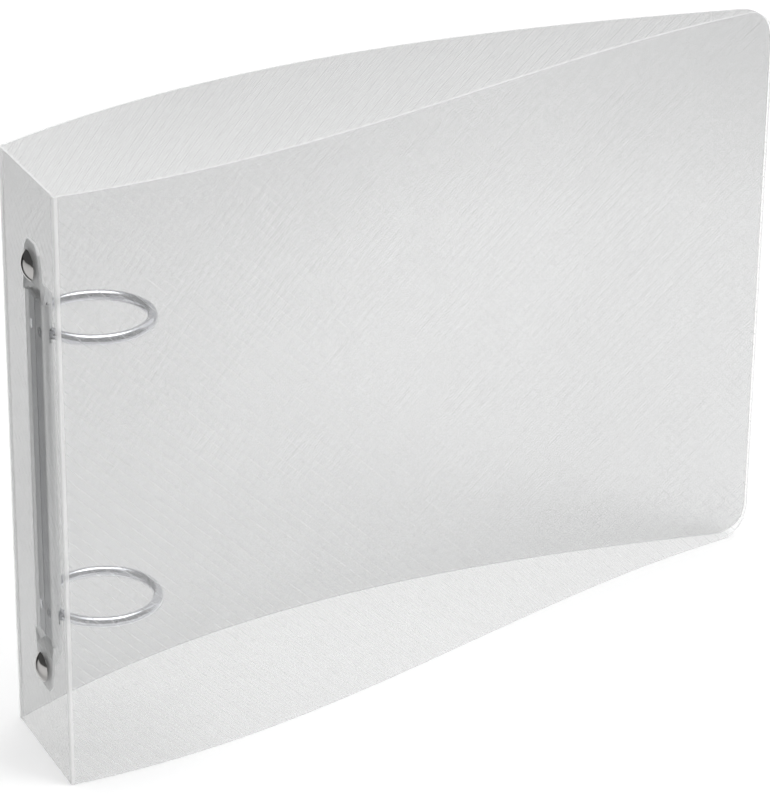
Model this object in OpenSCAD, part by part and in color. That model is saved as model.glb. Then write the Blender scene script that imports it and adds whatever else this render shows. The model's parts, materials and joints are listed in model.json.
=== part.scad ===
// Two-ring binder of clear polypropylene sheet, standing upright on its lower edge.
// Millimetres, +Z up. The origin is the middle of the spine panel's lower edge.
// +X runs from the spine to the fore-edge, -Y is the front cover's side, +Y the rear's.

/* [Sheet] */
// Height of the covers and the spine
sheet_h = 165; // [150:1:190]
// Thickness of the polypropylene sheet
sheet_t = 0.9; // [0.7:0.1:1]
// Outside width of the spine
spine_w = 40; // [39.5:0.5:46]
// Distance from the spine's outer face to the fore-edge
cover_reach = 236; // [228:1:250]
// Radius of the covers' corners at the fore-edge
corner_r = 9; // [3:0.5:20]

/* [Cover shape] */
// How far the closed fore-edge lies to the rear of the spine's middle
fore_edge_y = 36; // [20:1:40]
// Outward swell of the front cover a third of the way from the spine
front_swell_near = 9; // [7:1:14]
// Outward swell of the front cover two thirds of the way from the spine
front_swell_far = -34; // [-38:1:-20]
// Outward swell of the rear cover a third of the way from the spine
rear_swell_near = 46; // [30:1:50]
// Outward swell of the rear cover two thirds of the way from the spine
rear_swell_far = 46; // [30:1:50]

/* [Rings] */
// Distance between the two rings, centre to centre
ring_pitch = 80; // [70:1:90]
// Radius of the ring's wire circle, to the middle of the wire
ring_r = 14.5; // [13:0.1:14.6]
// Diameter of the ring wire
wire_d = 2.8; // [2:0.1:3]
// Distance from the spine panel's middle to the ring's centre
ring_x = 17.2; // [17:0.1:18]

/* [Mechanism] */
// Length of the ring housing
housing_len = 127; // [124:1:140]
// Width of the ring housing over its rolled edges
housing_w = 14; // [14:0.1:15]
// Height of the housing's crown above the spine panel
housing_h = 4.7; // [4.6:0.1:5]
// Thickness of the housing's steel
housing_t = 0.7; // [0.6:0.05:0.8]
// Length of the two blades inside the housing
blade_len = 96; // [90:1:96]
// Thickness of the blades
blade_t = 0.9; // [0.8:0.05:1]
// How far the closed blades sag below their pivots, in degrees
blade_sag = 4.5; // [3.5:0.5:4.5]
// Distance between the two rivets
rivet_pitch = 114.4; // [113:0.1:116]
// Diameter of the rivets' domed caps
cap_d = 8.2; // [7:0.1:10]

/* [Hidden] */
$fn = 64;
e = 0.01;
// longer than any cut or overlap of sections needs
cut_span = 200;
front = -1;
rear = 1;
half_t = sheet_t / 2;
mid_z = sheet_h / 2;
upper_z = mid_z + ring_pitch / 2;
lower_z = mid_z - ring_pitch / 2;
upper_rivet_z = mid_z + rivet_pitch / 2;
lower_rivet_z = mid_z - rivet_pitch / 2;

// living hinges: a round bead on each fold line, with a thin web to the spine panel
bead_r = 0.3;
fold_inset = 0.4;
fold_x = fold_inset - half_t;
fold_y = spine_w / 2 - fold_inset;
cover_gap = 0.3;
cover_start_x = fold_x + bead_r + cover_gap;
panel_edge_y = fold_y - bead_r - cover_gap;
web_t = 0.36;
web_len = 2;

// covers: one cubic curve each, from the fold line to the fore-edge
curve_steps = 30;
fore_gap = 0.4;
cover_end_x = cover_reach - half_t;
bevel_cut = 3;
third = (cover_end_x - cover_start_x) / 3;

// housing: an arch with rolled edges that hold the blades
blade_bead_r = blade_t / 2;
roll_clear = 0.06;
roll_in_r = blade_bead_r + roll_clear;
roll_out_r = roll_in_r + housing_t;
roll_lift = 0.15;
pivot_x = half_t + roll_lift + roll_out_r;
pivot_y = housing_w / 2 - roll_out_r;
arch_r = (pow(housing_w / 2, 2) + pow(housing_h, 2)) / (2 * housing_h);
arch_x = half_t + housing_h - arch_r;
blade_swing = 10;
blade_reach_spare = 0.3;
tab_len = 10;
shoulder_len = 4;
shoulder_end = housing_len / 2 - tab_len;
shoulder_start = shoulder_end - shoulder_len;
low_end_h = 1.1;
tip_w = 9.4;
tip_corner = 2.2;
taper_start = shoulder_start - 1;

// blades and ring feet
blade_mid_gap = 0.6;
blade_w = pivot_y - blade_mid_gap / 2;
foot_y = 3.1;
foot_r = 1;
foot_fit = 0.05;
foot_sink = 0.6;
flat_depth = 6;
foot_along = (pivot_y - foot_y) / cos(blade_sag);
head_r = 1.35;
head_t = 0.22;
wire_r = wire_d / 2;
foot_end_y = 2;
ring_start = asin(foot_end_y / ring_r);
tip_gap = 0.3;
tip_gap_deg = asin(tip_gap / 2 / ring_r);
slot_clear = 0.5;
slot_half_z = wire_r + slot_clear;
slot_inner_y = 1.5;
slot_lift = 0.35;
slot_floor_x = pivot_x + slot_lift;
nub_r = 0.6;
nub_len = 0.9;
nub_sink = 0.5;
nub_hole_r = 0.75;
nub_hole_len = 1.3;

// rivets
shank_r = 1.95;
hole_clear = 0.1;
cap_h = 1.7;
cap_r = (pow(cap_d / 2, 2) + pow(cap_h, 2)) / (2 * cap_h);
socket_depth = 0.8;
socket_clear = 0.05;
flange_r = 3.1;
flange_t = 0.5;
eyelet_r = 1.2;
eyelet_depth = 1.9;

sheet_colour = [0.88, 0.89, 0.89, 0.45];
steel_colour = [0.72, 0.73, 0.75];
nickel_colour = [0.82, 0.82, 0.84];

// a point on a cubic curve through the four control points c, at t from 0 to 1
function on_curve(c, t) = pow(1 - t, 3) * c[0] + 3 * pow(1 - t, 2) * t * c[1]
    + 3 * (1 - t) * t * t * c[2] + pow(t, 3) * c[3];
// the curve's direction, and its unit normal, at t
function curve_dir(c, t) = pow(1 - t, 2) * (c[1] - c[0]) + 2 * (1 - t) * t * (c[2] - c[1])
    + t * t * (c[3] - c[2]);
function curve_normal(c, t) = let (d = curve_dir(c, t)) [-d[1], d[0]] / norm(d);

// control points of a cover's middle line, on the given side
function cover_curve(side, near, far) = let (
        y0 = side * (spine_w / 2 - half_t),
        y3 = fore_edge_y + side * (fore_gap / 2 + half_t))
    [[cover_start_x, y0],
     [cover_start_x + third, y0 * 2 / 3 + side * near],
     [cover_start_x + 2 * third, y0 / 3 + side * far],
     [cover_end_x, y3]];

module cover_section(side, near, far) {
    c = cover_curve(side, near, far);
    outer = [for (i = [0:curve_steps])
        let (t = i / curve_steps) on_curve(c, t) + side * half_t * curve_normal(c, t)];
    inner = [for (i = [curve_steps:-1:0])
        let (t = i / curve_steps) on_curve(c, t) - side * half_t * curve_normal(c, t)];
    difference() {
        polygon(concat(outer, inner));
        // 45 degree bevel on the inside of the fold
        polygon([[cover_start_x, side * spine_w / 2],
            [cover_start_x + bevel_cut, side * (spine_w / 2 - bevel_cut)],
            [cover_start_x - bevel_cut, side * (spine_w / 2 - bevel_cut)],
            [cover_start_x - bevel_cut, side * spine_w / 2]]);
    }
}

// a flat sheet's outline with rounded fore-edge corners, carried through all depths in Y
module rounded_blank() {
    square_end = cover_end_x - corner_r;
    rotate([90, 0, 0])
        linear_extrude(cut_span, center = true)
            union() {
                square([square_end, sheet_h]);
                translate([0, corner_r])
                    square([cover_end_x, sheet_h - 2 * corner_r]);
                for (z = [corner_r, sheet_h - corner_r])
                    translate([square_end, z])
                        circle(corner_r);
            }
}

module cover(side, near, far) {
    color(sheet_colour)
        intersection() {
            linear_extrude(sheet_h)
                cover_section(side, near, far);
            rounded_blank();
        }
}

module front_cover() {
    cover(front, front_swell_near, front_swell_far);
}

module rear_cover() {
    cover(rear, rear_swell_near, rear_swell_far);
}

module spine_section() {
    polygon([[-half_t, -panel_edge_y],
        [half_t, -panel_edge_y + sheet_t],
        [half_t, panel_edge_y - sheet_t],
        [-half_t, panel_edge_y]]);
}

module spine_panel() {
    color(sheet_colour)
        difference() {
            linear_extrude(sheet_h)
                spine_section();
            for (z = [lower_rivet_z, upper_rivet_z])
                translate([0, 0, z])
                    rotate([0, 90, 0])
                        cylinder(h = cut_span, r = shank_r + hole_clear, center = true);
        }
}

module crease(side) {
    color(sheet_colour)
        linear_extrude(sheet_h)
            difference() {
                union() {
                    translate([fold_x, side * fold_y])
                        circle(bead_r);
                    translate([fold_x - web_t / 2, side > 0 ? fold_y - web_len : -fold_y])
                        square([web_t, web_len]);
                }
                spine_section();
                // keep only the web that stands outside the panel's bevelled edge
                translate([-sheet_t, -panel_edge_y + sheet_t])
                    square([2 * sheet_t, 2 * (panel_edge_y - sheet_t)]);
            }
}

module front_crease() {
    crease(front);
}

module rear_crease() {
    crease(rear);
}

// side outline of the housing: sloped shoulders and a level crown
module housing_side(inset) {
    low = half_t + low_end_h - inset;
    high = half_t + housing_h - inset;
    polygon([[half_t - 1, shoulder_end - inset],
        [low, shoulder_end - inset],
        [high, shoulder_start - inset],
        [high, -shoulder_start + inset],
        [low, -shoulder_end + inset],
        [half_t - 1, -shoulder_end + inset]]);
}

// plan outline of the housing: parallel edges that taper to a cut-cornered tip
module housing_plan(inset) {
    half_w = housing_w / 2 - inset;
    half_tip = tip_w / 2 - inset;
    end = housing_len / 2;
    half = [[-half_w, 0],
        [-half_w, taper_start],
        [-half_tip, end - tip_corner],
        [-half_tip + tip_corner, end]];
    across = [for (i = [3:-1:0]) [-half[i][0], half[i][1]]];
    for (m = [0, 1])
        mirror([0, m])
            polygon(concat(half, across));
}

// the housing's volume: arch, sloped ends and tapered plan, each set in by the same amount
module housing_volume(inset) {
    intersection() {
        linear_extrude(housing_len + 2, center = true)
            intersection() {
                translate([arch_x, 0])
                    circle(arch_r - inset);
                translate([inset > 0 ? -half_t : half_t, -housing_w])
                    square([2 * housing_w, 2 * housing_w]);
            }
        rotate([90, 0, 0])
            linear_extrude(cut_span, center = true)
                housing_side(inset);
        rotate([90, 0, 90])
            linear_extrude(cut_span, center = true)
                housing_plan(inset);
    }
}

module rolled_edges() {
    for (side = [front, rear])
        linear_extrude(2 * taper_start, center = true)
            translate([pivot_x, side * pivot_y])
                circle(roll_out_r);
}

// what is left open below the arch, beside and under the rolled edges
module below_rolls() {
    linear_extrude(2 * taper_start, center = true)
        difference() {
            translate([half_t - 1, -housing_w])
                square([pivot_x - half_t + 1, 2 * housing_w]);
            for (side = [front, rear])
                translate([pivot_x, side * pivot_y])
                    circle(roll_out_r);
        }
}

// room for a blade and its pivot bead inside the rolled edge, over the whole swing
module blade_room_section() {
    for (side = [front, rear]) {
        translate([pivot_x, side * pivot_y])
            circle(roll_in_r);
        for (a = [-blade_sag, blade_swing - blade_sag])
            translate([pivot_x, side * pivot_y])
                rotate(side * (90 + a) + 180)
                    translate([0, -roll_in_r])
                        square([blade_w + blade_reach_spare, 2 * roll_in_r]);
    }
}

module end_tabs() {
    intersection() {
        for (up = [0, 1])
            mirror([0, 0, up])
                translate([half_t, -housing_w / 2, shoulder_end - 1])
                    cube([housing_t, housing_w, tab_len + 1]);
        rotate([90, 0, 90])
            linear_extrude(cut_span, center = true)
                housing_plan(0);
    }
}

module ring_slots() {
    for (side = [front, rear])
        for (z = [-ring_pitch / 2, ring_pitch / 2])
            translate([slot_floor_x, side > 0 ? slot_inner_y : -slot_inner_y - housing_w, z - slot_half_z])
                cube([housing_w, housing_w, 2 * slot_half_z]);
}

module ring_housing() {
    color(steel_colour)
        translate([0, 0, mid_z])
            difference() {
                union() {
                    difference() {
                        housing_volume(0);
                        housing_volume(housing_t);
                        below_rolls();
                    }
                    rolled_edges();
                    end_tabs();
                }
                linear_extrude(2 * taper_start + 1, center = true)
                    blade_room_section();
                ring_slots();
                for (z = [-rivet_pitch / 2, rivet_pitch / 2])
                    translate([0, 0, z])
                        rotate([0, 90, 0])
                            cylinder(h = cut_span, r = shank_r + hole_clear, center = true);
            }
}

// places a blade's own frame: its pivot at the origin, +X towards the other blade, +Y up
module at_pivot(side) {
    translate([pivot_x, side * pivot_y, 0])
        mirror([0, side > 0 ? 0 : 1, 0])
            rotate([0, 0, -90 - blade_sag])
                children();
}

module blade(side) {
    color(steel_colour)
        translate([0, 0, mid_z])
            at_pivot(side)
                difference() {
                    linear_extrude(blade_len, center = true)
                        union() {
                            circle(blade_bead_r);
                            translate([0, -blade_t / 2])
                                square([blade_w, blade_t]);
                        }
                    for (z = [-ring_pitch / 2, ring_pitch / 2])
                        translate([foot_along, 0, z])
                            rotate([90, 0, 0])
                                cylinder(h = 2 * sheet_h, r = foot_r + foot_fit, center = true);
                }
}

module front_blade() {
    blade(front);
}

module rear_blade() {
    blade(rear);
}

module ring_wire(side) {
    translate([ring_x, 0, 0])
        mirror([0, side > 0 ? 0 : 1, 0])
            rotate([0, 0, tip_gap_deg])
                rotate_extrude(angle = 180 - ring_start - tip_gap_deg)
                    translate([ring_r, 0])
                        circle(wire_r);
}

module half_ring(side, z) {
    color(nickel_colour)
        translate([0, 0, z])
            difference() {
                union() {
                    difference() {
                        ring_wire(side);
                        // the wire's foot is pressed flat on the blade
                        at_pivot(side)
                            translate([-wire_d, blade_t / 2 - flat_depth, -wire_d])
                                cube([housing_w, flat_depth, 2 * wire_d]);
                    }
                    at_pivot(side)
                        translate([foot_along, 0, 0])
                            rotate([90, 0, 0]) {
                                translate([0, 0, -blade_t / 2 - foot_sink])
                                    cylinder(h = blade_t + foot_sink + head_t, r = foot_r);
                                translate([0, 0, blade_t / 2])
                                    cylinder(h = head_t, r = head_r);
                            }
                    if (side == front)
                        translate([ring_x + ring_r, -nub_sink, 0])
                            rotate([-90, 0, 0])
                                cylinder(h = nub_len + nub_sink, r = nub_r);
                }
                if (side == rear)
                    translate([ring_x + ring_r, 0, 0])
                        rotate([-90, 0, 0])
                            cylinder(h = nub_hole_len, r = nub_hole_r);
            }
}

module upper_front_half_ring() {
    half_ring(front, upper_z);
}

module upper_rear_half_ring() {
    half_ring(rear, upper_z);
}

module lower_front_half_ring() {
    half_ring(front, lower_z);
}

module lower_rear_half_ring() {
    half_ring(rear, lower_z);
}

module rivet_cap(z) {
    color(nickel_colour)
        translate([-half_t, 0, z])
            rotate([0, -90, 0])
                difference() {
                    intersection() {
                        translate([0, 0, cap_h - cap_r])
                            sphere(cap_r);
                        cylinder(h = 2 * cap_h, r = cap_d);
                    }
                    translate([0, 0, -cap_h])
                        cylinder(h = socket_depth + cap_h, r = shank_r + socket_clear);
                }
}

module rivet_post(z) {
    flange_x = half_t + housing_t;
    shank_start = -half_t - socket_depth + socket_clear;
    color(nickel_colour)
        translate([0, 0, z])
            rotate([0, 90, 0])
                difference() {
                    union() {
                        translate([0, 0, shank_start])
                            cylinder(h = flange_x - shank_start + e, r = shank_r);
                        translate([0, 0, flange_x])
                            cylinder(h = flange_t, r = flange_r);
                    }
                    translate([0, 0, flange_x + flange_t - eyelet_depth])
                        cylinder(h = 2 * eyelet_depth, r = eyelet_r);
                }
}

module upper_rivet_cap() {
    rivet_cap(upper_rivet_z);
}

module lower_rivet_cap() {
    rivet_cap(lower_rivet_z);
}

module upper_rivet_post() {
    rivet_post(upper_rivet_z);
}

module lower_rivet_post() {
    rivet_post(lower_rivet_z);
}

spine_panel();
front_crease();
rear_crease();
front_cover();
rear_cover();
ring_housing();
front_blade();
rear_blade();
upper_front_half_ring();
upper_rear_half_ring();
lower_front_half_ring();
lower_rear_half_ring();
upper_rivet_cap();
lower_rivet_cap();
upper_rivet_post();
lower_rivet_post();
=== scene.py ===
"""A two-ring binder of half-clear polypropylene, standing closed on its lower edge.

Metres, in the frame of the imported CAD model: +X from the spine to the fore-edge, -Y the
front cover's side, +Z up. The covers, spine and folds are fine sheet meshes that replace
the plain CAD sheets. The steel parts are the CAD nodes with procedural metals.
"""
import json
import math

import bmesh
import bpy
from mathutils import Matrix, Vector


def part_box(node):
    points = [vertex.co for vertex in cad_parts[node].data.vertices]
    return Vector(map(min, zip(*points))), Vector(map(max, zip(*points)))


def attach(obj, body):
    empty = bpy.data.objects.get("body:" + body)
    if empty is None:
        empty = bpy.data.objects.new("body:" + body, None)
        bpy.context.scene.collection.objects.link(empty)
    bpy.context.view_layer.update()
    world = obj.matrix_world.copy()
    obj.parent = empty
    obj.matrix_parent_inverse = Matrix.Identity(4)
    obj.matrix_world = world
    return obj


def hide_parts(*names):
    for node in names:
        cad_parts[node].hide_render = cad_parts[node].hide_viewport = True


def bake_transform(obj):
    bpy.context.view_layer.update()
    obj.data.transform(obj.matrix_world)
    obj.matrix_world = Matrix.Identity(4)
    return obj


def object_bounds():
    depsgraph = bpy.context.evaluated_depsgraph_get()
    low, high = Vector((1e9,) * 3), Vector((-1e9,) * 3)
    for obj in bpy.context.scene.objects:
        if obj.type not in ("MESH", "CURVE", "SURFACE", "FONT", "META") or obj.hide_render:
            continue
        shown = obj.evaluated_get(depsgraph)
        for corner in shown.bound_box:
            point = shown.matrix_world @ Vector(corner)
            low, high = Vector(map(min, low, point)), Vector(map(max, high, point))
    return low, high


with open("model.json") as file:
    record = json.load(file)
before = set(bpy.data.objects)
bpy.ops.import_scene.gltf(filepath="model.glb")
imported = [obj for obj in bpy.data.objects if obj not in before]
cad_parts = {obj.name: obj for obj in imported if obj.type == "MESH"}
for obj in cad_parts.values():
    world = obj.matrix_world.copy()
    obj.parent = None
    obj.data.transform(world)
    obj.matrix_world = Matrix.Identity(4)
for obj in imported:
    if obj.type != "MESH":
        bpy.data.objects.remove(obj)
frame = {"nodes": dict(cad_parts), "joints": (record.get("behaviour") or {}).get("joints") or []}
CAD_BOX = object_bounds()
MM = 0.001

# ---------------------------------------------------------------- sizes from the frame
SPINE_LO, SPINE_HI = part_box("spine_panel")
FRONT_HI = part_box("front_cover")[1]
SHEET_T = SPINE_HI.x - SPINE_LO.x
HALF_T = SHEET_T / 2
HEIGHT = SPINE_HI.z - SPINE_LO.z
JOINTS = {j["name"]: j for j in frame["joints"]}
FRONT_FOLD = Vector(JOINTS["front_cover_fold"]["pos_m"])
FOLD_INSET = FRONT_FOLD.x - SPINE_LO.x
SPINE_HALF_W = -FRONT_FOLD.y + FOLD_INSET
START_X = FRONT_FOLD.x + 0.6 * MM
END_X = FRONT_HI.x - 0.06 * MM
FORE_EDGE_Y = 36.0 * MM
FORE_GAP = 0.4 * MM
CORNER_R = 9.0 * MM
RIVET_HOLE_R = 2.05 * MM
# the visual sheets are a hair thinner than the CAD ones, so that their rims stay inside its box
VISUAL_T = SHEET_T - 0.05 * MM
CUT_EDGE_BEVEL = 0.2 * MM
FOLD_T = 0.34 * MM
FOLD_BEVEL = 0.06 * MM
# swell of each cover away from a straight line, at one third and two thirds of its length
FRONT_SWELL = (9.0 * MM, -34.0 * MM)
REAR_SWELL = (46.0 * MM, 46.0 * MM)

# the sheet's embossed lines run at 45 degrees, and every third one is bold; their half
# widths are parts of their pitch
FINE_PITCH = 1.17 * MM
BOLD_PITCH = 3 * FINE_PITCH
FINE_HALF_WIDTH = 0.22
BOLD_HALF_WIDTH = 0.05

# ---------------------------------------------------------------- camera
CAMERA_AZIMUTH = -25.36
CAMERA_ELEVATION = 24.64
CAMERA_ROLL = 0.56
CAMERA_DISTANCE = 0.9745
CAMERA_LENS = 160.7
# the aim point, from the middle of the CAD box
AIM_OFFSET = Vector((-0.0103, 0.0014, -0.0066))


def add_camera():
    data = bpy.data.cameras.new("camera")
    data.lens = CAMERA_LENS
    data.sensor_width = 36.0
    data.clip_start = 0.01
    camera = bpy.data.objects.new("camera", data)
    bpy.context.scene.collection.objects.link(camera)
    azimuth, elevation = math.radians(CAMERA_AZIMUTH), math.radians(CAMERA_ELEVATION)
    back = Vector((
        math.sin(azimuth) * math.cos(elevation),
        -math.cos(azimuth) * math.cos(elevation),
        math.sin(elevation),
    ))
    aim = (CAD_BOX[0] + CAD_BOX[1]) / 2 + AIM_OFFSET
    turn = (-back).to_track_quat("-Z", "Y").to_matrix().to_4x4()
    roll = Matrix.Rotation(math.radians(CAMERA_ROLL), 4, "Z")
    camera.matrix_world = Matrix.Translation(aim + back * CAMERA_DISTANCE) @ turn @ roll
    bpy.context.scene.camera = camera


# ---------------------------------------------------------------- node helpers
def new_material(name):
    material = bpy.data.materials.new(name)
    material.use_nodes = True
    nodes = material.node_tree.nodes
    nodes.clear()
    output = nodes.new("ShaderNodeOutputMaterial")
    shader = nodes.new("ShaderNodeBsdfPrincipled")
    material.node_tree.links.new(shader.outputs[0], output.inputs["Surface"])
    return material, shader


class Graph:
    """Short calls for building the node tree of a material or a world."""

    def __init__(self, owner):
        self.tree = owner.node_tree

    def node(self, kind, **settings):
        made = self.tree.nodes.new(kind)
        for key, value in settings.items():
            setattr(made, key, value)
        return made

    def link(self, a, b):
        self.tree.links.new(a, b)

    def set(self, socket, value):
        if isinstance(value, bpy.types.NodeSocket):
            self.link(value, socket)
        else:
            socket.default_value = value

    def math(self, operation, a, b=0.0, c=0.0, clamp=False):
        made = self.node("ShaderNodeMath", operation=operation, use_clamp=clamp)
        for socket, value in zip(made.inputs, (a, b, c)):
            self.set(socket, value)
        return made.outputs[0]

    def position(self, kind="Object"):
        return self.node("ShaderNodeTexCoord").outputs[kind]

    def mirrored(self):
        """1 for what mirror reflections see, 0 for everything else."""
        return self.node("ShaderNodeLightPath").outputs["Is Glossy Ray"]

    def split(self, vector):
        made = self.node("ShaderNodeSeparateXYZ")
        self.link(vector, made.inputs[0])
        return made.outputs

    def noise(self, vector, scale, detail=3.0, roughness=0.5):
        made = self.node("ShaderNodeTexNoise")
        self.link(vector, made.inputs["Vector"])
        made.inputs["Scale"].default_value = scale
        made.inputs["Detail"].default_value = detail
        made.inputs["Roughness"].default_value = roughness
        return made.outputs["Fac"]

    def stretch(self, vector, scale):
        made = self.node("ShaderNodeMapping")
        self.link(vector, made.inputs["Vector"])
        made.inputs["Scale"].default_value = scale
        return made.outputs[0]

    def ramp(self, value, low, high, out_low, out_high, smooth=True):
        made = self.node("ShaderNodeMapRange")
        made.interpolation_type = "SMOOTHSTEP" if smooth else "LINEAR"
        self.link(value, made.inputs["Value"])
        numbers = {"From Min": low, "From Max": high, "To Min": out_low, "To Max": out_high}
        for key, number in numbers.items():
            made.inputs[key].default_value = number
        return made.outputs[0]

    def mix(self, factor, a, b):
        made = self.node("ShaderNodeMix", data_type="RGBA")
        self.set(made.inputs["Factor"], factor)
        self.set(made.inputs["A"], a)
        self.set(made.inputs["B"], b)
        return made.outputs["Result"]

    def bump(self, height, distance, strength=1.0):
        made = self.node("ShaderNodeBump")
        made.inputs["Strength"].default_value = strength
        made.inputs["Distance"].default_value = distance
        self.link(height, made.inputs["Height"])
        return made.outputs[0]


def opaque(colour, times=1.0):
    return tuple(c * times for c in colour[:3]) + (1.0,)


def emboss(graph, along, pitch, half_width):
    """1 on thin lines a pitch apart, 0 between them, from a coordinate that crosses the lines."""
    phase = graph.math("FRACT", graph.math("DIVIDE", along, pitch))
    away = graph.math("ABSOLUTE", graph.math("SUBTRACT", phase, 0.5))
    return graph.ramp(away, 0.0, half_width, 1.0, 0.0)


# ---------------------------------------------------------------- materials
SHEET_ALPHA = 0.17
FINE_ALPHA = 0.016
BOLD_ALPHA = 0.15
RIDGE_COLOUR = (0.74, 0.75, 0.76, 1.0)
SHEET_IOR = 2.2
SHEET_ROUGHNESS = 0.22


def sheet_material(name, across, alpha, colour, painted_shade_ramp=None):
    """Half-clear polypropylene. across gives the weights of x, y and z in the coordinate
    that crosses the embossed lines. The last argument is an axis, two places on it in metres and
    the factor on the opacity at each, against 1. It is painted light and shade: the sheet is
    darker where the factor is above 1 and lighter where it is below, for how the light falls
    across it."""
    material, shader = new_material(name)
    graph = Graph(material)
    place = graph.position()
    x, y, z = graph.split(place)
    waves = graph.noise(place, 9.0, 2.0)
    along = graph.math("MULTIPLY", x, across[0])
    along = graph.math("MULTIPLY_ADD", y, across[1], along)
    along = graph.math("MULTIPLY_ADD", z, across[2], along)
    fine = emboss(graph, along, FINE_PITCH, FINE_HALF_WIDTH)
    bold = emboss(graph, along, BOLD_PITCH, BOLD_HALF_WIDTH)
    haze = graph.noise(place, 320.0, 2.0, 0.6)
    cloud = graph.ramp(waves, 0.3, 0.7, alpha * 0.96, alpha * 1.04)
    # painted light and shade: the opacity is ramped along one axis, darker at one end and lighter
    # at the other, for how the light falls across the sheet
    if painted_shade_ramp:
        axis, low, high, at_low, at_high = painted_shade_ramp
        painted_shade = graph.ramp((x, y, z)[axis], low, high, at_low, at_high, smooth=False)
        cloud = graph.math("MULTIPLY", cloud, painted_shade)
    opacity = graph.math("MULTIPLY_ADD", fine, FINE_ALPHA, cloud)
    opacity = graph.math("MULTIPLY_ADD", bold, BOLD_ALPHA, opacity, clamp=True)
    graph.link(opacity, shader.inputs["Alpha"])
    tint = graph.mix(graph.ramp(haze, 0.35, 0.65, 0.0, 1.0), colour, opaque(colour, 1.03))
    ridge = graph.math("MULTIPLY_ADD", fine, 0.2, graph.math("MULTIPLY", bold, 0.6), clamp=True)
    tint = graph.mix(ridge, tint, RIDGE_COLOUR)
    graph.link(tint, shader.inputs["Base Color"])
    rough = graph.ramp(haze, 0.3, 0.7, SHEET_ROUGHNESS * 0.9, SHEET_ROUGHNESS * 1.15)
    graph.link(graph.math("MULTIPLY_ADD", fine, 0.06, rough), shader.inputs["Roughness"])
    height = graph.math("MULTIPLY_ADD", bold, 1.6, fine)
    height = graph.math("MULTIPLY_ADD", haze, 0.15, height)
    graph.link(graph.bump(height, 0.008 * MM, 0.12), shader.inputs["Normal"])
    shader.inputs["IOR"].default_value = SHEET_IOR
    return material


def edge_material(name, alpha, colour=(0.9, 0.905, 0.905, 1.0)):
    """The sheet's cut edges and stretched fold lines, where the plastic gathers light; the
    brighter, denser colour is a painted highlight.
    """
    material, shader = new_material(name)
    graph = Graph(material)
    place = graph.position()
    drag = graph.noise(graph.stretch(place, (900.0, 900.0, 60.0)), 1.0, 3.0)
    graph.link(graph.ramp(drag, 0.3, 0.7, alpha * 0.85, alpha * 1.1), shader.inputs["Alpha"])
    tint = graph.mix(graph.ramp(drag, 0.3, 0.7, 0.0, 1.0), opaque(colour, 0.95), colour)
    graph.link(tint, shader.inputs["Base Color"])
    graph.link(graph.ramp(drag, 0.3, 0.7, 0.3, 0.45), shader.inputs["Roughness"])
    graph.link(graph.bump(drag, 0.03 * MM, 0.5), shader.inputs["Normal"])
    shader.inputs["IOR"].default_value = 1.8
    return material


def metal_material(name, colour, roughness, drag_scale, wear=0.5, spots=0.0, dull_from=None):
    """Plated or bare steel: fine drawn lines, cloudy roughness, small scuffs and spots.
    Beyond a distance of dull_from from the middle of the height, the plating is dull."""
    material, shader = new_material(name)
    graph = Graph(material)
    place = graph.position()
    cloud = graph.noise(place, 260.0, 4.0, 0.6)
    drag = graph.noise(graph.stretch(place, drag_scale), 1.0, 4.0, 0.65)
    rubbed = graph.noise(graph.stretch(place, (1400.0, 900.0, 300.0)), 1.0, 5.0, 0.7)
    scuff = graph.ramp(rubbed, 0.58, 0.72, 0.0, 1.0)
    tint = graph.mix(graph.ramp(cloud, 0.32, 0.7, 0.0, 1.0), opaque(colour, 0.9), colour)
    tint = graph.mix(graph.math("MULTIPLY", scuff, 0.25 * wear), tint, (0.9, 0.9, 0.9, 1.0))
    if spots:
        grime = graph.ramp(graph.noise(place, 620.0, 5.0, 0.75), 0.66, 0.74, 0.0, spots)
        tint = graph.mix(grime, tint, (0.12, 0.11, 0.1, 1.0))
    graph.link(tint, shader.inputs["Base Color"])
    rough = graph.ramp(cloud, 0.3, 0.7, roughness * 0.8, roughness * 1.35)
    rough = graph.math("MULTIPLY_ADD", drag, roughness * 0.5, rough)
    graph.link(graph.math("MULTIPLY_ADD", scuff, 0.12 * wear, rough), shader.inputs["Roughness"])
    relief = graph.math("MULTIPLY_ADD", scuff, 0.3, drag)
    graph.link(graph.bump(relief, 0.008 * MM, 0.5), shader.inputs["Normal"])
    shader.inputs["Metallic"].default_value = 1.0
    if dull_from:
        height = graph.split(place)[2]
        off_middle = graph.math("ABSOLUTE", graph.math("SUBTRACT", height, HEIGHT / 2))
        shine = graph.ramp(off_middle, dull_from, dull_from + 2 * MM, 1.0, 0.3)
        graph.link(shine, shader.inputs["Metallic"])
    return material


# The three sheets are one plastic. Their different colours, opacities and opacity ramps are
# painted light and shade: the front is painted lighter, and darker towards the spine; the rear is
# painted darker, and darkest near the top; the spine is painted darker.
FRONT_SHEET = sheet_material(
    "front_sheet_pp_painted_light_and_shade", (1.0, 0.0, 1.0), SHEET_ALPHA, (0.57, 0.575, 0.575, 1.0),
    painted_shade_ramp=(0, 0.0, 0.235, 1.3, 0.82),
)
REAR_SHEET = sheet_material(
    "rear_sheet_pp_painted_shade", (-1.0, 0.0, 1.0), SHEET_ALPHA * 1.4, (0.30, 0.305, 0.305, 1.0),
    painted_shade_ramp=(2, 0.11, 0.165, 1.0, 1.32),
)
SPINE_SHEET = sheet_material(
    "spine_sheet_pp_painted_shade", (0.0, -1.0, 1.0), SHEET_ALPHA * 1.3, (0.46, 0.465, 0.46, 1.0)
)
CUT_EDGE = edge_material("cut_edge_pp", 0.4)
FOLD_SHEET = edge_material("fold_line_pp", 0.42, (0.97, 0.97, 0.97, 1.0))
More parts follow.
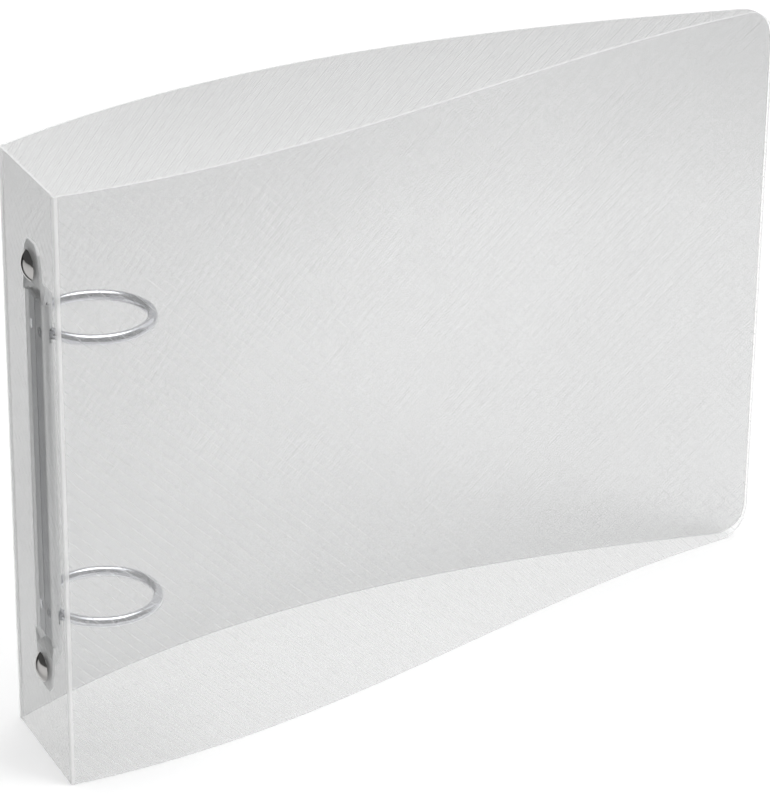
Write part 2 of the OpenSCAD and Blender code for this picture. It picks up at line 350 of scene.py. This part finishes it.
RING_NICKEL = metal_material(
    "ring_nickel_plate", (0.74, 0.75, 0.79, 1.0), 0.12, (300.0, 300.0, 5200.0)
)
RIVET_NICKEL = metal_material(
    "rivet_nickel_plate", (0.43, 0.42, 0.41, 1.0), 0.10, (500.0, 2600.0, 2600.0), wear=0.4
)
HOUSING_STEEL = metal_material(
    "plated_sheet_steel", (0.84, 0.845, 0.85, 1.0), 0.36, (3000.0, 3000.0, 40.0), wear=0.25,
    dull_from=50.5 * MM,
)
BLADE_STEEL = metal_material(
    "rolled_strip_steel", (0.60, 0.61, 0.63, 1.0), 0.3, (2600.0, 2600.0, 40.0), wear=0.4, spots=0.2
)


# ---------------------------------------------------------------- sheet shapes
def cover_curve(side, swell):
    """The four control points, in the XY plane, of a cover's middle line."""
    start = Vector((START_X, side * (SPINE_HALF_W - HALF_T)))
    end = Vector((END_X, FORE_EDGE_Y + side * (FORE_GAP / 2 + HALF_T)))
    third = (END_X - START_X) / 3
    near = Vector((START_X + third, start.y * 2 / 3 + side * swell[0]))
    far = Vector((START_X + 2 * third, start.y / 3 + side * swell[1]))
    return start, near, far, end


def on_curve(points, t):
    a, b, c, d = points
    u = 1 - t
    return a * u ** 3 + b * 3 * u * u * t + c * 3 * u * t * t + d * t ** 3


def corner_reach(x):
    """How far the rounded fore-edge corners cut into the height at this x."""
    into = x - (END_X - CORNER_R)
    if into <= 0:
        return 0.0
    return CORNER_R - math.sqrt(max(CORNER_R ** 2 - into ** 2, 0.0))


def grid_mesh(name, columns, rows):
    """A surface of quads through columns[i][j], a list of lists of points."""
    mesh = bpy.data.meshes.new(name)
    bm = bmesh.new()
    verts = [[bm.verts.new(p) for p in column] for column in columns]
    for left, right in zip(verts, verts[1:]):
        for j in range(rows):
            bm.faces.new((left[j], right[j], right[j + 1], left[j + 1]))
    bm.normal_update()
    bm.to_mesh(mesh)
    bm.free()
    for face in mesh.polygons:
        face.use_smooth = True
    made = bpy.data.objects.new(name, mesh)
    bpy.context.scene.collection.objects.link(made)
    return made


def thicken(piece, thickness, rim_bevel):
    """Gives a middle surface the sheet's thickness, with slightly rounded cut edges."""
    solid = piece.modifiers.new("thickness", "SOLIDIFY")
    solid.thickness = thickness
    solid.offset = 0.0
    solid.use_even_offset = True
    solid.material_offset_rim = 1
    bevel = piece.modifiers.new("cut_edge", "BEVEL")
    bevel.width = rim_bevel
    bevel.segments = 2
    bevel.limit_method = "ANGLE"
    bevel.angle_limit = math.radians(50)
    bevel.harden_normals = True


def apply_modifiers(piece):
    bpy.context.view_layer.update()
    evaluated = piece.evaluated_get(bpy.context.evaluated_depsgraph_get())
    mesh = bpy.data.meshes.new_from_object(evaluated)
    piece.modifiers.clear()
    piece.data = mesh


def keep_rims_plain(piece, is_fold):
    """The sheets run on through the folds, so the rims that meet a fold look like the sheet."""
    for face in piece.data.polygons:
        if face.material_index == 1 and is_fold(face.center):
            face.material_index = 0


def away_from_corners(z):
    return CORNER_R < z < HEIGHT - CORNER_R


def add_cover(name, node, body, side, swell, material):
    columns_n, rows_n = 150, 84
    # columns gather towards the fore-edge, where the corners turn
    gather = 0.12
    curve = cover_curve(side, swell)
    columns = []
    for i in range(columns_n + 1):
        s = i / columns_n
        t = s + gather * math.sin(math.pi * s) * s
        point = on_curve(curve, min(t, 1.0))
        cut = corner_reach(point.x)
        low, high = cut, HEIGHT - cut
        columns.append([
            Vector((point.x, point.y, low + (high - low) * j / rows_n)) for j in range(rows_n + 1)
        ])
    piece = grid_mesh(name, columns, rows_n)
    piece.data.materials.append(material)
    piece.data.materials.append(CUT_EDGE)
    thicken(piece, VISUAL_T, CUT_EDGE_BEVEL)
    apply_modifiers(piece)
    keep_rims_plain(piece, lambda p: p.x < START_X + HALF_T and away_from_corners(p.z))
    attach(piece, body)
    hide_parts(node)


def cut_rivet_holes(piece):
    """Round holes through the spine for the two rivets."""
    facets = 48
    for node in ("upper_rivet_post", "lower_rivet_post"):
        low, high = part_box(node)
        mesh = bpy.data.meshes.new("hole_cutter")
        bm = bmesh.new()
        bmesh.ops.create_cone(
            bm,
            cap_ends=True,
            segments=facets,
            radius1=RIVET_HOLE_R,
            radius2=RIVET_HOLE_R,
            depth=4 * SHEET_T,
        )
        bm.to_mesh(mesh)
        bm.free()
        cutter = bpy.data.objects.new("hole_cutter", mesh)
        bpy.context.scene.collection.objects.link(cutter)
        across = Matrix.Rotation(math.pi / 2, 4, "Y")
        cutter.matrix_world = Matrix.Translation((0.0, 0.0, (low.z + high.z) / 2)) @ across
        cut = piece.modifiers.new("rivet_hole", "BOOLEAN")
        cut.operation = "DIFFERENCE"
        cut.solver = "EXACT"
        cut.object = cutter
        apply_modifiers(piece)
        bpy.data.objects.remove(cutter)


def add_spine():
    columns_n, rows_n = 38, 110
    half_w = SPINE_HI.y
    columns = [
        [
            Vector((0.0, -half_w + 2 * half_w * i / columns_n, HEIGHT * j / rows_n))
            for j in range(rows_n + 1)
        ]
        for i in range(columns_n + 1)
    ]
    piece = grid_mesh("spine_sheet", columns, rows_n)
    piece.data.materials.append(SPINE_SHEET)
    piece.data.materials.append(CUT_EDGE)
    thicken(piece, VISUAL_T, CUT_EDGE_BEVEL)
    apply_modifiers(piece)
    keep_rims_plain(piece, lambda p: abs(p.y) > half_w - HALF_T and away_from_corners(p.z))
    cut_rivet_holes(piece)
    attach(piece, "spine")
    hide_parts("spine_panel")


def add_fold(name, node, side):
    """The thin creased strip between the spine and a cover, wrapped round the corner."""
    outer_x = SPINE_LO.x + FOLD_T / 2
    outer_y = side * (SPINE_HALF_W - FOLD_T / 2)
    centre = Vector((FRONT_FOLD.x, side * -FRONT_FOLD.y))
    radius = FOLD_INSET - FOLD_T / 2
    path = [Vector((outer_x, side * (SPINE_HI.y - 0.2 * MM)))]
    path.append(Vector((outer_x, centre.y - side * 0.12 * MM)))
    turns = 8
    for k in range(turns + 1):
        angle = math.pi / 2 * k / turns
        x, y = centre.x - radius * math.cos(angle), centre.y + side * radius * math.sin(angle)
        path.append(Vector((x, y)))
    path.append(Vector((centre.x + 0.3 * MM, outer_y)))
    path.append(Vector((START_X + 0.15 * MM, outer_y)))
    rows_n = 60
    columns = [[Vector((p.x, p.y, HEIGHT * j / rows_n)) for j in range(rows_n + 1)] for p in path]
    piece = grid_mesh(name, columns, rows_n)
    piece.data.materials.append(FOLD_SHEET)
    piece.data.materials.append(CUT_EDGE)
    thicken(piece, FOLD_T, FOLD_BEVEL)
    apply_modifiers(piece)
    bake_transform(piece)
    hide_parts(node)


# ---------------------------------------------------------------- steel parts
def dress(node, material):
    for slot in frame["nodes"][node].material_slots:
        slot.material = material


def dress_steel():
    for level in ("upper", "lower"):
        for side in ("front", "rear"):
            dress(f"{level}_{side}_half_ring", RING_NICKEL)
        dress(f"{level}_rivet_cap", RIVET_NICKEL)
        dress(f"{level}_rivet_post", RIVET_NICKEL)
    dress("ring_housing", HOUSING_STEEL)
    dress("front_blade", BLADE_STEEL)
    dress("rear_blade", BLADE_STEEL)


# ---------------------------------------------------------------- studio
def add_floor():
    below = 0.2 * MM
    bpy.ops.mesh.primitive_plane_add(size=12, location=(0, 0, CAD_BOX[0].z - below))
    floor = bpy.context.object
    floor.name = "floor"
    material, shader = new_material("floor_white")
    graph = Graph(material)
    mottle = graph.noise(graph.position(), 3.0, 2.0)
    tint = graph.mix(mottle, (0.93, 0.93, 0.93, 1.0), (0.95, 0.95, 0.95, 1.0))
    graph.link(tint, shader.inputs["Base Color"])
    shader.inputs["Roughness"].default_value = 0.9
    # painted dark reflections: for mirror rays only, parts of the floor turn black so that the
    # polished steel shows dark bands; to the camera the floor stays white
    x, y, _ = graph.split(graph.position())
    behind = graph.ramp(graph.math("MULTIPLY_ADD", x, 1.2, y), -0.05, 0.03, 0.0, 1.0)
    beside = graph.ramp(graph.math("MULTIPLY_ADD", y, 0.2, x), -0.03, 0.0, 1.0, 0.0)
    before = graph.ramp(y, -0.3, -0.15, 0.9, 0.0)
    dark = graph.math("MAXIMUM", graph.math("MULTIPLY", behind, beside), before)
    dark = graph.math("MULTIPLY", dark, graph.mirrored())
    black = graph.node("ShaderNodeEmission")
    black.inputs["Color"].default_value = (0.02, 0.02, 0.02, 1.0)
    either = graph.node("ShaderNodeMixShader")
    graph.link(dark, either.inputs[0])
    graph.link(shader.outputs[0], either.inputs[1])
    graph.link(black.outputs[0], either.inputs[2])
    graph.link(either.outputs[0], material.node_tree.nodes["Material Output"].inputs["Surface"])
    floor.data.materials.append(material)


def add_world():
    """White above and dimmer round the horizon. Polished steel mirrors a darker studio, white
    only high up and behind on the right, so that it shows soft dark bands."""
    world = bpy.data.worlds.new("studio")
    world.use_nodes = True
    bpy.context.scene.world = world
    graph = Graph(world)
    x, y, z = graph.split(graph.position("Generated"))
    seen = graph.ramp(z, 0.3, 0.7, 0.06, 0.82)
    high = graph.ramp(z, 0.7, 0.97, 0.12, 0.82)
    behind = graph.ramp(graph.math("MULTIPLY_ADD", x, 1.2, y), 0.7, 1.1, 0.0, 0.9)
    either = graph.node("ShaderNodeMix")
    graph.link(graph.mirrored(), either.inputs["Factor"])
    graph.link(seen, either.inputs["A"])
    graph.link(graph.math("MAXIMUM", high, behind), either.inputs["B"])
    background = world.node_tree.nodes["Background"]
    graph.link(either.outputs["Result"], background.inputs["Strength"])
    background.inputs["Color"].default_value = (1.0, 1.0, 1.0, 1.0)


def add_softbox(name, size, place, aim, power, mirrored=True):
    data = bpy.data.lights.new(name, "AREA")
    data.shape = "RECTANGLE"
    data.size, data.size_y = size
    data.energy = power
    lamp = bpy.data.objects.new(name, data)
    lamp.visible_glossy = mirrored
    bpy.context.scene.collection.objects.link(lamp)
    place, aim = Vector(place), Vector(aim)
    turn = (aim - place).to_track_quat("-Z", "Y").to_matrix().to_4x4()
    lamp.matrix_world = Matrix.Translation(place) @ turn


def add_studio():
    add_floor()
    add_world()
    # the key light would draw a hard white stripe along the wire of the rings
    add_softbox("key_softbox", (1.4, 1.4), (1.5, -1.4, 1.4), (0.12, 0, 0.08), 21, mirrored=False)
    add_softbox("top_softbox", (1.6, 1.6), (0.2, 0.2, 2.0), (0.12, 0, 0.0), 23)
    bpy.context.scene.view_settings.view_transform = "Standard"


# ---------------------------------------------------------------- assembly
add_camera()
add_studio()
add_cover("front_cover_sheet", "front_cover", "front_cover", -1, FRONT_SWELL, FRONT_SHEET)
add_cover("rear_cover_sheet", "rear_cover", "rear_cover", 1, REAR_SWELL, REAR_SHEET)
add_spine()
add_fold("front_fold_strip", "front_crease", -1)
add_fold("rear_fold_strip", "rear_crease", 1)
dress_steel()
